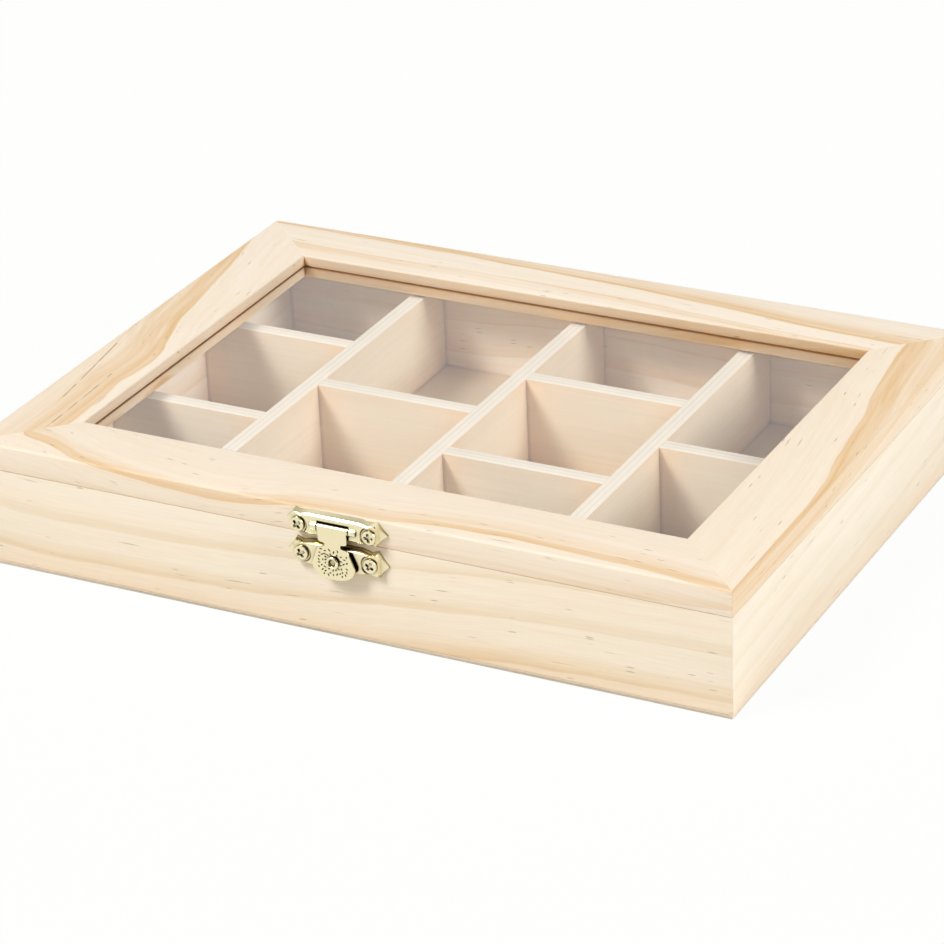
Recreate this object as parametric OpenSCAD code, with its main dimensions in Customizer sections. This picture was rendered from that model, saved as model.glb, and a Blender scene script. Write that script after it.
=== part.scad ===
// Tea bag organizer box: a pine tray with ten compartments, a framed glass lid on two hinges
// and a small pressed-brass hasp at the front. Millimetres, +Z up, -Y is the front, and the
// origin is the middle of the underside of the wooden box.

/* [Base] */
// Outside width of the box, left to right
box_w = 280; // [240:1:340]
// Outside depth of the box, front to back
box_d = 209; // [180:1:260]
// Height of the seam between base and lid above the table
base_h = 36.5; // [32:0.5:60]
// Thickness of the four base walls
wall_t = 11; // [9:0.5:14]
// Thickness of the plywood bottom panel
bottom_t = 1.6; // [1.2:0.1:5]
// How far the bottom panel stays inside the outer faces of the walls
bottom_inset = 0.4; // [0:0.1:2]

/* [Lid] */
// Thickness of the lid rails
lid_t = 9.5; // [9.5:0.5:14]
// Width of the lid rails seen from above
rail_w = 27.3; // [22:0.1:40]
// Radius of the sanded outer top edge of the lid
outer_edge_r = 1; // [0.4:0.1:2]
// Radius of the sanded edge around the opening
inner_edge_r = 0.6; // [0.3:0.1:1]

/* [Glass] */
// Thickness of the glass pane
glass_t = 1.8; // [1.2:0.1:2.5]
// Height of the middle of the glass above the seam
glass_lift = 4.7; // [3.5:0.1:6]
// How far the glass reaches into each rail
glass_hold = 5; // [3:0.5:8]
// Play between the glass and the faces of its groove
glass_play = 0.1; // [0.05:0.05:0.3]

/* [Dividers] */
// Thickness of the plywood dividers
divider_t = 6; // [4:0.5:8]
// How far the tops of the dividers stay below the seam
divider_drop = 1.3; // [0.3:0.1:3]

/* [Hasp plates] */
// Place of the latch across the front, from the middle of the box
latch_x = 0.9; // [-20:0.1:20]
// Width of the straight top edge of both plates
plate_w = 30.4; // [30:0.2:34]
// Height of both plates
plate_h = 8.9; // [8.6:0.1:9]
// Length of the pointed tip at each end of a plate
plate_tip = 3.6; // [2:0.1:5]
// How far the pressed face of the hasp plate stands off the wood
hasp_plate_rise = 3.3; // [3:0.1:3.5]
// How far the pressed face of the catch plate stands off the wood
catch_plate_rise = 2.7; // [2.4:0.1:2.9]
// Depth of the dimple that each screw head sits in
dimple = 0.4; // [0.2:0.1:0.6]
// Width of the sloping edge around a plate
plate_slope = 1.2; // [0.8:0.1:1.4]
// Thickness of the brass sheet
sheet_t = 0.6; // [0.5:0.05:0.7]
// Gap between the seam and the lower edge of the hasp plate
hasp_plate_lift = 0.4; // [0.2:0.1:0.5]
// Gap between the seam and the upper edge of the catch plate
catch_plate_drop = 2; // [1:0.1:3]

/* [Hasp leaf] */
// Height of the hasp pin above the lower edge of the hasp plate
pin_lift = 4.6; // [4.2:0.1:4.8]
// Distance of the hasp pin from the wood
pin_out = 3; // [2.8:0.1:3.2]
// Radius of the hasp pin
hasp_pin_r = 0.6; // [0.4:0.05:0.65]
// Outside radius of the rolled barrels of the hasp
barrel_r = 1.4; // [1.35:0.05:1.6]
// Length of the barrel of the leaf
leaf_barrel = 11.4; // [9:0.2:12]
// Length of each of the two knuckles of the plate
knuckle_len = 2.5; // [1.5:0.1:3.5]
// Play between the ends of neighbouring knuckles
knuckle_play = 0.2; // [0.1:0.05:0.4]
// How far the leaf stays inside the ends of its barrel
leaf_inset = 0.4; // [0.2:0.1:1.4]
// Width of the narrow neck of the leaf
neck_w = 5.8; // [4:0.1:8]
// Drop from the hasp pin to the top of the neck
neck_top = 4.6; // [4:0.1:5.5]
// Drop from the hasp pin to the shoulders of the shield
shield_top = 6.6; // [6:0.1:7.5]
// Width of the shield at its shoulders
shoulder_w = 10.8; // [8:0.1:13]
// Greatest width of the shield
shield_w = 15.8; // [13:0.1:17]
// Drop from the hasp pin to the widest place of the shield
shield_mid = 13.2; // [12.8:0.1:15]
// Drop from the hasp pin to the lower tip of the shield
leaf_drop = 18.1; // [17:0.1:21]
// Drop from the hasp pin to the middle of the knob
knob_drop = 11.5; // [11:0.1:12.5]
// Radius of the pressed knob
knob_r = 2.2; // [1.6:0.1:2.6]
// Height of the pressed knob above the shield
knob_h = 1.1; // [0.6:0.1:1.5]
// Radius of the stud on the catch plate behind the knob
stud_r = 1.8; // [1.2:0.1:2.4]
// Gap between the stud and the back of the shield
stud_gap = 0.3; // [0.25:0.05:0.5]

/* [Latch screws] */
// Radius of the flat heads
head_r = 2.5; // [2:0.1:2.7]
// Height of the heads
head_h = 1; // [0.8:0.1:1.2]
// Radius of the shanks
shank_r = 1.1; // [0.8:0.1:1.3]
// Length of the shanks in the wood
shank_len = 8; // [5:0.5:8.5]
// Distance between the two screws of the hasp plate
hasp_screw_gap = 26.4; // [25.8:0.1:27]
// Distance between the two screws of the catch plate
catch_screw_gap = 25.4; // [25:0.1:27]
// Height of the screws above the lower edge of the hasp plate
hasp_screw_lift = 4.1; // [3.8:0.1:4.8]
// Drop of the screws below the upper edge of the catch plate
catch_screw_drop = 4.2; // [4:0.1:5]

/* [Hinges] */
// Distance from each side of the box to the middle of the hinge near it
hinge_from_side = 52; // [40:1:80]
// Length of each hinge
hinge_len = 24; // [20:0.5:30]
// Height of each leaf, from the axis to its outer edge
hinge_leaf_h = 8.4; // [8:0.1:9]
// Thickness of the leaves
hinge_leaf_t = 0.9; // [0.7:0.05:1.1]
// Outside radius of the knuckles
hinge_knuckle_r = 1.6; // [1.4:0.05:1.8]
// Radius of the hinge pins
hinge_pin_r = 0.75; // [0.5:0.05:0.85]
// Gap between the knuckles and the wood
hinge_gap = 0.3; // [0.3:0.05:0.6]
// Radius of the heads of the hinge screws
hinge_head_r = 1.7; // [1.4:0.05:1.8]
// Height of the heads of the hinge screws
hinge_head_h = 0.5; // [0.3:0.05:0.6]
// Radius of the shanks of the hinge screws
hinge_shank_r = 0.9; // [0.7:0.05:1.1]
// Length of the shanks of the hinge screws in the wood
hinge_shank_len = 6.5; // [4:0.5:8]
// Distance between the two screws of a leaf
hinge_screw_gap = 14; // [12:0.5:15]
// Distance from the hinge axis to the screws
hinge_screw_out = 5.4; // [5:0.1:5.8]

/* [Hidden] */
$fn = 48;

// A cut reaches this far past the face that it opens
cut = 1;
// Radial play of a screw in its hole, and of a pin in its knuckles
screw_play = 0.05;
pin_play = 0.05;
// Play around a screw head in the dimple of a plate
head_play = 0.15;
// Play between the barrel of the leaf and its window in the plate
window_play = 0.75;
// How far the notches above and below the neck of the leaf slope
neck_slope = 0.8;
// How deep a knuckle of a hinge runs into its leaf
weld = 0.6;
// Size of the cross in a screw head, as shares of the radius and the height of the head
cross_reach = 0.62;
cross_width = 0.24;
cross_depth = 0.6;
// Step of the arcs in the outlines, in degrees
arc_step = 10;
// How hollow the sides of a plate's tip are, and the step along them from the middle to a corner
tip_hollow = 0.35;
tip_step = 0.25;
// Height of the steep rim of a plate as a share of its rise
rim_share = 0.7;

// Inside of the base and the pitch of its columns
inner_w = box_w - 2 * wall_t;
inner_d = box_d - 2 * wall_t;
columns = 4;
column_w = (inner_w - (columns - 1) * divider_t) / columns;
column_pitch = column_w + divider_t;
divider_h = base_h - divider_drop - bottom_t;

// Opening of the lid and the groove around it
opening_w = box_w - 2 * rail_w;
opening_d = box_d - 2 * rail_w;
groove_low = glass_lift - glass_t / 2 - glass_play;
groove_high = glass_lift + glass_t / 2 + glass_play;
groove_depth = glass_hold + glass_play;

// Heights on the front of the box
hasp_plate_low = base_h + hasp_plate_lift;
hasp_plate_mid = hasp_plate_low + plate_h / 2;
hasp_screw_z = hasp_plate_low + hasp_screw_lift;
pin_z = hasp_plate_low + pin_lift;
catch_plate_mid = base_h - catch_plate_drop - plate_h / 2;
catch_screw_z = base_h - catch_plate_drop - catch_screw_drop;
knob_z = pin_z - knob_drop;
leaf_w = leaf_barrel - 2 * leaf_inset;
leaf_back = pin_out + barrel_r - sheet_t;
window_half = barrel_r + window_play;

// Places of the hinges, their axis behind the back face, and their row of knuckles
hinge_x = box_w / 2 - hinge_from_side;
hinge_axis_out = hinge_knuckle_r + hinge_gap;
knuckles = 5;
hinge_pitch = hinge_len / knuckles;
leaf_start = hinge_knuckle_r + hinge_gap;

// ---------- Placing ----------

// Turns a piece that is drawn with its outer face at y = 0 to one side of the box
module to_side(turn, reach) {
    rotate([0, 0, turn]) translate([0, -reach, 0]) children();
}

// Local x is along the front, y is height above the table and z is distance from the front face
module on_front() {
    translate([latch_x, -box_d / 2, 0]) rotate([90, 0, 0]) children();
}

// Local x is along the back, y is height above the seam and z is distance from the back face
module on_back(x) {
    translate([x, box_d / 2, base_h]) rotate([90, 0, 180]) children();
}

// ---------- Wood ----------

// Plan of a board with mitred ends: its outer face is on y = 0
module mitred_plan(length, width) {
    polygon([
        [-length / 2, 0],
        [length / 2, 0],
        [length / 2 - width, width],
        [-length / 2 + width, width]
    ]);
}

module base_wall(length) {
    translate([0, 0, bottom_t]) linear_extrude(base_h - bottom_t) mitred_plan(length, wall_t);
}

// Section of a lid rail: y runs inwards from the outer face, z up from the seam
function rail_section() = concat(
    [[0, 0]],
    [for (a = [0 : arc_step : 90])
        [outer_edge_r * (1 - cos(a)), lid_t - outer_edge_r * (1 - sin(a))]],
    [for (a = [90 : -arc_step : 0])
        [rail_w - inner_edge_r * (1 - cos(a)), lid_t - inner_edge_r * (1 - sin(a))]],
    [
        [rail_w, groove_high],
        [rail_w - groove_depth, groove_high],
        [rail_w - groove_depth, groove_low],
        [rail_w, groove_low],
        [rail_w, 0]
    ]
);

module lid_rail(length) {
    translate([0, 0, base_h]) intersection() {
        rotate([90, 0, 90]) linear_extrude(length, center = true) polygon(rail_section());
        translate([0, 0, -cut]) linear_extrude(lid_t + 2 * cut) mitred_plan(length, rail_w);
    }
}

module base_front() {
    color("#F0E3CD") difference() {
        to_side(0, box_d / 2) base_wall(box_w);
        on_front() latch_pilots(catch_screw_gap, catch_screw_z);
    }
}

module base_right() {
    color("#FAF3E0") to_side(90, box_w / 2) base_wall(box_d);
}

module base_back() {
    color("#F0E3CD") difference() {
        to_side(180, box_d / 2) base_wall(box_w);
        for (side = [-1, 1]) {
            on_back(side * hinge_x) hinge_pilots(-1);
        }
    }
}

module base_left() {
    color("#F3E6D3") to_side(-90, box_w / 2) base_wall(box_d);
}

module bottom_panel() {
    color("#BCB3A1")
        translate([-box_w / 2 + bottom_inset, -box_d / 2 + bottom_inset, 0])
            cube([box_w - 2 * bottom_inset, box_d - 2 * bottom_inset, bottom_t]);
}

module lid_front() {
    color("#F5EBD9") difference() {
        to_side(0, box_d / 2) lid_rail(box_w);
        on_front() latch_pilots(hasp_screw_gap, hasp_screw_z);
    }
}

module lid_right() {
    color("#F2E4CB") to_side(90, box_w / 2) lid_rail(box_d);
}

module lid_back() {
    color("#F5EBD9") difference() {
        to_side(180, box_d / 2) lid_rail(box_w);
        for (side = [-1, 1]) {
            on_back(side * hinge_x) hinge_pilots(1);
        }
    }
}

module lid_left() {
    color("#EFDDBD") to_side(-90, box_w / 2) lid_rail(box_d);
}

module glass_pane() {
    size = [opening_w + 2 * glass_hold, opening_d + 2 * glass_hold, glass_t];
    color("#DDE8E4", 0.35)
        translate([0, 0, base_h + glass_lift]) cube(size, center = true);
}

// ---------- Dividers ----------

// Runs from the front wall to the back wall; place counts the columns from the middle
module long_divider(place) {
    color("#EFE2C8")
        translate([place * column_pitch - divider_t / 2, -inner_d / 2, bottom_t])
            cube([divider_t, inner_d, divider_h]);
}

// Fills one column, 0 to 3 from the left, at one of the joints between its rows
module cross_divider(column, rows, joint) {
    row_d = (inner_d - (rows - 1) * divider_t) / rows;
    x = -inner_w / 2 + column * column_pitch;
    y = -inner_d / 2 + joint * (row_d + divider_t) - divider_t;
    color("#F3E8D2") translate([x, y, bottom_t]) cube([column_w, divider_t, divider_h]);
}

// ---------- Latch ----------

// Outline of a pressed plate: straight above and below, slightly hollow sides to a point at each end
function half_plate(half_w, half_h, tip, side) = [
    for (t = [-1 : tip_step : 1])
        [side * (half_w + tip * (1 - abs(t))), -side * half_h * t * (1 - tip_hollow * (1 - abs(t)))]
];

module plate_shape(inset) {
    polygon(concat(
        half_plate(plate_w / 2 - inset, plate_h / 2 - inset, plate_tip - inset / 2, 1),
        half_plate(plate_w / 2 - inset, plate_h / 2 - inset, plate_tip - inset / 2, -1)
    ));
}

// The outside of a plate: a low rim and the face that is pressed up from it
module plate_outside(rise) {
    linear_extrude(rise * rim_share) plate_shape(0);
    linear_extrude(rise) plate_shape(plate_slope);
}

// A pressed plate around height mid, with a dimple and a hole for each of its two screws
module pressed_plate(rise, mid, screw_gap, screw_z) {
    seat = rise - dimple;
    difference() {
        translate([0, mid, 0]) union() {
            difference() {
                plate_outside(rise);
                translate([0, 0, -cut])
                    linear_extrude(rise - sheet_t + cut) plate_shape(plate_slope + sheet_t);
            }
            intersection() {
                plate_outside(rise);
                for (side = [-1, 1]) {
                    translate([side * screw_gap / 2, screw_z - mid, seat - sheet_t])
                        cylinder(r = head_r + head_play + sheet_t, h = rise);
                }
            }
        }
        for (side = [-1, 1]) {
            translate([side * screw_gap / 2, screw_z, 0]) {
                translate([0, 0, seat]) cylinder(r = head_r + head_play, h = rise);
                translate([0, 0, -cut]) cylinder(r = shank_r + screw_play, h = rise + cut);
            }
        }
    }
}

// A tube or rod along x around the hasp pin
module along_pin(r, length) {
    translate([0, pin_z, pin_out]) rotate([0, 90, 0]) cylinder(r = r, h = length, center = true);
}

module hasp_plate() {
    pin_len = leaf_barrel + 2 * (knuckle_play + knuckle_len);
    color("#D9CD90") on_front() difference() {
        union() {
            pressed_plate(hasp_plate_rise, hasp_plate_mid, hasp_screw_gap, hasp_screw_z);
            along_pin(barrel_r, pin_len);
        }
        translate([-leaf_barrel / 2 - knuckle_play, pin_z - window_half, -cut])
            cube([leaf_barrel + 2 * knuckle_play, 2 * window_half, pin_out + barrel_r + 2 * cut]);
        along_pin(hasp_pin_r + pin_play, pin_len + 2 * cut);
    }
}

module hasp_pin() {
    color("#EFE8C0") on_front()
        along_pin(hasp_pin_r, leaf_barrel + 2 * (knuckle_play + knuckle_len));
}

module catch_plate() {
    color("#D9CD90") on_front() {
        pressed_plate(catch_plate_rise, catch_plate_mid, catch_screw_gap, catch_screw_z);
        translate([0, knob_z, catch_plate_rise - sheet_t])
            cylinder(r = stud_r, h = leaf_back - stud_gap - catch_plate_rise + sheet_t);
    }
}

// One side of the outline of the leaf, from the pin down to its lower tip
function half_leaf(side) = concat(
    [
        [side * leaf_w / 2, 0],
        [side * leaf_w / 2, -neck_top],
        [side * neck_w / 2, -neck_top - neck_slope],
        [side * neck_w / 2, -shield_top + neck_slope / 2],
        [side * shoulder_w / 2, -shield_top]
    ],
    [for (a = [0 : arc_step : 90 - arc_step])
        [side * shield_w / 2 * cos(a), -shield_mid - (leaf_drop - shield_mid) * sin(a)]]
);

function reversed(points) = [for (i = [len(points) - 1 : -1 : 0]) points[i]];

module hasp_leaf() {
    color("#E4DAA4") on_front() difference() {
        union() {
            along_pin(barrel_r, leaf_barrel);
            translate([0, pin_z, leaf_back]) linear_extrude(sheet_t)
                polygon(concat(half_leaf(1), [[0, -leaf_drop]], reversed(half_leaf(-1))));
            translate([0, knob_z, leaf_back + sheet_t]) rotate_extrude() polygon(concat(
                [[0, -sheet_t / 2], [knob_r, -sheet_t / 2]],
                [for (a = [0 : arc_step : 90]) [knob_r * cos(a), knob_h * sin(a)]]
            ));
        }
        along_pin(hasp_pin_r + pin_play, leaf_barrel + 2 * cut);
    }
}

// ---------- Screws ----------

// A screw along z with a cross in its flat head; the head sits on z = seat, the shank runs below it
module cross_screw(seat, screw_head_r, screw_head_h, screw_shank_r, length) {
    arm = 2 * cross_reach * screw_head_r;
    slot = cross_width * screw_head_r;
    depth = cross_depth * screw_head_h;
    difference() {
        union() {
            translate([0, 0, seat]) cylinder(r = screw_head_r, h = screw_head_h);
            translate([0, 0, -length]) cylinder(r = screw_shank_r, h = length + seat + depth / 4);
        }
        for (turn = [0, 90]) {
            translate([0, 0, seat + screw_head_h]) rotate([0, 0, turn])
                cube([arm, slot, 2 * depth], center = true);
        }
    }
}

// Two latch screws in the dimples of a plate that stands off the wood by rise
module latch_screws(rise, gap, z) {
    color("#CFC287") for (side = [-1, 1]) {
        translate([side * gap / 2, z, 0])
            cross_screw(rise - dimple, head_r, head_h, shank_r, shank_len);
    }
}

// The holes that two latch screws need in the wood
module latch_pilots(gap, z) {
    for (side = [-1, 1]) {
        translate([side * gap / 2, z, -shank_len - screw_play])
            cylinder(r = shank_r + screw_play, h = shank_len + cut);
    }
}

module catch_screws() {
    on_front() latch_screws(catch_plate_rise, catch_screw_gap, catch_screw_z);
}

module hasp_screws() {
    on_front() latch_screws(hasp_plate_rise, hasp_screw_gap, hasp_screw_z);
}

// ---------- Hinges ----------

// Local y is up from the axis towards the leaf's outer edge; up = 1 for the lid, -1 for the base
module hinge_pilots(up) {
    for (side = [-1, 1]) {
        translate([side * hinge_screw_gap / 2, up * hinge_screw_out, -hinge_shank_len - screw_play])
            cylinder(r = hinge_shank_r + screw_play, h = hinge_shank_len + cut);
    }
}

module hinge_rod(r, length) {
    translate([0, 0, hinge_axis_out]) rotate([0, 90, 0]) cylinder(r = r, h = length, center = true);
}

// The base leaf has knuckles 0, 2 and 4 and the lid leaf has 1 and 3
module hinge_leaf(up) {
    own = up > 0 ? [1, 3] : [0, 2, 4];
    length = hinge_pitch - knuckle_play;
    difference() {
        union() {
            translate([-hinge_len / 2, up > 0 ? leaf_start : -hinge_leaf_h, 0])
                cube([hinge_len, hinge_leaf_h - leaf_start, hinge_leaf_t]);
            for (i = own) {
                translate([(i - (knuckles - 1) / 2) * hinge_pitch, 0, 0]) {
                    hinge_rod(hinge_knuckle_r, length);
                    translate([-length / 2, up > 0 ? 0 : -leaf_start - weld, 0])
                        cube([length, leaf_start + weld, hinge_leaf_t]);
                }
            }
        }
        hinge_rod(hinge_pin_r + pin_play, hinge_len + 2 * cut);
        for (side = [-1, 1]) {
            translate([side * hinge_screw_gap / 2, up * hinge_screw_out, -cut])
                cylinder(r = hinge_shank_r + screw_play, h = hinge_leaf_t + 2 * cut);
        }
    }
}

module hinge_base_leaf(side) {
    color("#D9CD90") on_back(side * hinge_x) hinge_leaf(-1);
}

module hinge_lid_leaf(side) {
    color("#E4DAA4") on_back(side * hinge_x) hinge_leaf(1);
}

module hinge_pin(side) {
    color("#EFE8C0") on_back(side * hinge_x) hinge_rod(hinge_pin_r, hinge_len);
}

module hinge_screws(up) {
    color("#CFC287") for (side = [-1, 1], end = [-1, 1]) {
        on_back(side * hinge_x) translate([end * hinge_screw_gap / 2, up * hinge_screw_out, 0])
            cross_screw(hinge_leaf_t, hinge_head_r, hinge_head_h, hinge_shank_r, hinge_shank_len);
    }
}

// ---------- Nodes ----------

base_front();
base_right();
base_back();
base_left();
bottom_panel();
long_divider(-1);  // long_divider_left
long_divider(0);  // long_divider_middle
long_divider(1);  // long_divider_right
cross_divider(0, 3, 1);  // cross_divider_a_front
cross_divider(0, 3, 2);  // cross_divider_a_back
cross_divider(1, 2, 1);  // cross_divider_b
cross_divider(2, 3, 1);  // cross_divider_c_front
cross_divider(2, 3, 2);  // cross_divider_c_back
cross_divider(3, 2, 1);  // cross_divider_d
catch_plate();
catch_screws();
hinge_base_leaf(-1);  // hinge_base_leaf_left
hinge_base_leaf(1);  // hinge_base_leaf_right
hinge_pin(-1);  // hinge_pin_left
hinge_pin(1);  // hinge_pin_right
hinge_screws(-1);  // hinge_base_screws
lid_front();
lid_right();
lid_back();
lid_left();
glass_pane();
hasp_plate();
hasp_screws();
hasp_pin();
hinge_lid_leaf(-1);  // hinge_lid_leaf_left
hinge_lid_leaf(1);  // hinge_lid_leaf_right
hinge_screws(1);  // hinge_lid_screws
hasp_leaf();
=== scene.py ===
"""Looks of the tea bag organizer box: an unfinished pine tray with ten compartments, a framed
glass lid on two hinges and a small pressed-brass hasp. Metres, +Z up, -Y is the front."""

import math
import random

import bmesh
import bpy
from mathutils import Matrix, Vector


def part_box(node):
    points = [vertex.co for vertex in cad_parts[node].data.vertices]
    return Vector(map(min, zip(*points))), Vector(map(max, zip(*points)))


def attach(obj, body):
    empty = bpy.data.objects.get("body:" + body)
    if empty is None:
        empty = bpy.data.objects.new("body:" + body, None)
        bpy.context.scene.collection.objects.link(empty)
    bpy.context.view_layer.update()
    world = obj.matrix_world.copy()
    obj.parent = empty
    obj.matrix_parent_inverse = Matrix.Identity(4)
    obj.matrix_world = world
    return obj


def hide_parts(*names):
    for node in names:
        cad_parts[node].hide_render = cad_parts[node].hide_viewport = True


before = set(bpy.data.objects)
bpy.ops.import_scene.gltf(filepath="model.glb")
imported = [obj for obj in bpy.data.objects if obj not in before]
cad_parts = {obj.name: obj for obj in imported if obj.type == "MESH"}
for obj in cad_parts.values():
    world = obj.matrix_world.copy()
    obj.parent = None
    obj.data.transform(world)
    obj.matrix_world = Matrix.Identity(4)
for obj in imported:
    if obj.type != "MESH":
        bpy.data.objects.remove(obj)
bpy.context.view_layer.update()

# ---------- Camera ----------
# A long lens from the right front corner, 26 degrees above the table, turned a little about
# its own axis. Place and turn were fitted to the box's corners in the photo.

CAMERA_PLACE = (0.561268, -1.064129, 0.606547)
# In degrees: how far it turns to the left, how far it looks down, how far it is rolled
HEADING, LOOK_DOWN, ROLL = 28.0, 26.266, -2.475

camera = bpy.data.objects.new("camera", bpy.data.cameras.new("camera"))
bpy.context.scene.collection.objects.link(camera)
bpy.context.scene.camera = camera
camera.data.lens = 146.58
camera.data.sensor_width = 36
camera.data.clip_start = 0.05
camera.matrix_world = (
    Matrix.Translation(CAMERA_PLACE)
    @ Matrix.Rotation(math.radians(HEADING), 4, "Z")
    @ Matrix.Rotation(math.radians(90 - LOOK_DOWN), 4, "X")
    @ Matrix.Rotation(math.radians(ROLL), 4, "Z")
)

# ---------- Studio ----------
# A white table and white walls that run on for ever, two wide soft lamps, a dim ceiling and a
# dark room behind the camera, which only glossy surfaces show. The table keeps a faint shadow.

# Pieces are sized in millimetres, lamps and the table's half width in metres
MM = 0.001
BACKDROP = "#FFFFFF"
TABLE_CARD = "#F4F2EE"
TABLE_GLOW = 0.95
TABLE_HALF = 6
TABLE_DROP = 0.1
# Light that the walls throw on the object
AMBIENT = 0.17
AMBIENT_TINT = "#FFD8A8"
# The ceiling dims between two heights, as the sine of the angle above the horizon
CEILING_HEIGHTS = (0.42, 0.7)
CEILING_LEVEL = 0.55
# The dark room: its direction, where it starts and is full as the cosine to it, its level
ROOM_SIDE = (0.62, -0.72, 0.32)
ROOM_SPREAD = (0.8, 0.9)
ROOM_LEVEL = 0.1
LAMP_AIM = (0, 0, 0.03)
lamps = [
    # name, place, size, power
    ("key_left", (-1.9, -2.3, 3.5), 1.5, 163.0),
    ("fill_right", (3.6, -0.1, 2.1), 1.8, 103.0),
]


def linear(colour):
    """An sRGB hex colour as the linear colour that a socket takes."""
    out = []
    for i in (1, 3, 5):
        c = int(colour[i : i + 2], 16) / 255
        out.append(c / 12.92 if c <= 0.04045 else ((c + 0.055) / 1.055) ** 2.4)
    return (*out, 1.0)


def add(tree, kind, inputs=None, **settings):
    """Adds a shader node. An input is a plain value, or what feeds it: a socket, or a node,
    of which the first live output is taken."""
    node = tree.nodes.new("ShaderNode" + kind)
    for name, value in settings.items():
        setattr(node, name, value)
    for name, value in (inputs or {}).items():
        if isinstance(value, bpy.types.Node):
            value = next(output for output in value.outputs if output.enabled)
        if isinstance(value, bpy.types.NodeSocket):
            tree.links.new(value, node.inputs[name])
        else:
            node.inputs[name].default_value = value
    return node


def seen(tree, rays):
    """1 for rays that show the background: from the camera, off metal and through glass."""
    camera_ray, glossy_ray = rays.outputs["Is Camera Ray"], rays.outputs["Is Glossy Ray"]
    direct = add(tree, "Math", {0: camera_ray, 1: glossy_ray}, operation="ADD")
    through = rays.outputs["Is Transmission Ray"]
    return add(tree, "Math", {0: direct, 1: through}, operation="ADD", use_clamp=True)


world = bpy.data.worlds.new("studio")
bpy.context.scene.world = world
world.use_nodes = True
sky = world.node_tree
sky.nodes.clear()
rays = add(sky, "LightPath")
shown = seen(sky, rays)
direction = add(sky, "TexCoord").outputs["Generated"]
height = add(sky, "SeparateXYZ", {0: direction}).outputs["Z"]
ceiling = add(sky, "MapRange", {
    "Value": height, "From Min": CEILING_HEIGHTS[0], "From Max": CEILING_HEIGHTS[1],
    "To Min": 1.0, "To Max": CEILING_LEVEL,
})
towards = add(sky, "VectorMath", {0: direction, 1: ROOM_SIDE}, operation="DOT_PRODUCT")
room = add(sky, "MapRange", {
    "Value": towards, "From Min": ROOM_SPREAD[0], "From Max": ROOM_SPREAD[1],
    "To Min": 1.0, "To Max": ROOM_LEVEL,
})
dimmed = add(sky, "Math", {0: ceiling, 1: room}, operation="MULTIPLY")
not_glossy = add(sky, "Math", {0: 1.0, 1: rays.outputs["Is Glossy Ray"]}, operation="SUBTRACT")
wall = add(sky, "Math", {0: dimmed, 1: not_glossy}, operation="MAXIMUM")
level = add(sky, "Mix", {"Factor": shown, "A": AMBIENT, "B": wall})
tint = {"Factor": shown, "A": linear(AMBIENT_TINT), "B": linear(BACKDROP)}
tint = add(sky, "Mix", tint, data_type="RGBA")
light = add(sky, "Background", {"Color": tint, "Strength": level})
add(sky, "OutputWorld", {"Surface": light})

bpy.context.scene.view_settings.view_transform = "Standard"

for name, place, size, power in lamps:
    data = bpy.data.lights.new(name, "AREA")
    data.shape = "SQUARE"
    data.size = size
    data.energy = power
    lamp = bpy.data.objects.new(name, data)
    bpy.context.scene.collection.objects.link(lamp)
    aim = (Vector(LAMP_AIM) - Vector(place)).to_track_quat("-Z", "Y")
    lamp.matrix_world = Matrix.Translation(place) @ aim.to_matrix().to_4x4()


def clean_material(name):
    """An empty node material and its tree."""
    material = bpy.data.materials.new(name)
    material.use_nodes = True
    material.node_tree.nodes.clear()
    return material, material.node_tree


def new_object(name, bm, materials):
    """Makes an object at the origin from a bmesh whose place is in its vertices."""
    mesh = bpy.data.meshes.new(name)
    bmesh.ops.recalc_face_normals(bm, faces=bm.faces)
    bm.to_mesh(mesh)
    bm.free()
    obj = bpy.data.objects.new(name, mesh)
    bpy.context.scene.collection.objects.link(obj)
    for material in materials:
        mesh.materials.append(material)
    return obj


# Matt card that shows as the white of the walls, with a trace of the shadow that falls on it
table_card, tree = clean_material("table_matt_white_card")
card = add(tree, "BsdfDiffuse", {"Color": linear(TABLE_CARD)})
glow = add(tree, "Emission", {"Color": linear(BACKDROP)})
shown = seen(tree, add(tree, "LightPath"))
share = add(tree, "Math", {0: shown, 1: TABLE_GLOW}, operation="MULTIPLY")
add(tree, "OutputMaterial", {"Surface": add(tree, "MixShader", {0: share, 1: card, 2: glow})})
bm = bmesh.new()
bmesh.ops.create_grid(bm, x_segments=1, y_segments=1, size=TABLE_HALF)
bmesh.ops.translate(bm, verts=bm.verts, vec=(0, 0, -TABLE_DROP * MM))
table = new_object("table", bm, [table_card])

# ---------- Base walls ----------
# Four planed pine boards, flat-sawn, glued at mitred corners and sanded. Pale cream earlywood
# with wide tan bands that end in a sharp edge, fine fibres and a few short resin ducts.

BOX_W, BOX_D = 280, 209
SEAM = 36.5
LID_TOP = 46
WALL = 11
RAIL = 27.3
BOTTOM = 1.6
MITRE_EASE = 0.1
PALE = "#F9F0E2"
PALE_WARM = "#F6EAD6"
TAN = "#E6C595"
DUCT = "#8F7557"
# Waviness of the rings: how long and how high
WAVE = (28, 2.2)
# Half the width over which a band's sharp edge turns from pale to tan
BAND_EDGE = 0.35
# Streaks along the grain, as length and width: rings, fibres (drawn coarser than real ones,
# which are too fine to show), broad changes of tone, and the pieces that a crack breaks into
RINGS = (140, 2.6)
FIBRES = (14, 0.45)
BROAD = (90, 12)
BREAKS = (6, 5)
# How far a step inwards or down moves on to other streaks
LAYERS = 0.35
# Ducts and longer cracks: length, thickness, share of the places that have one
DUCTS = [(2.8, 0.36, 0.07), (8.0, 0.3, 0.035)]
DUCT_GROUP = 16
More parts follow.
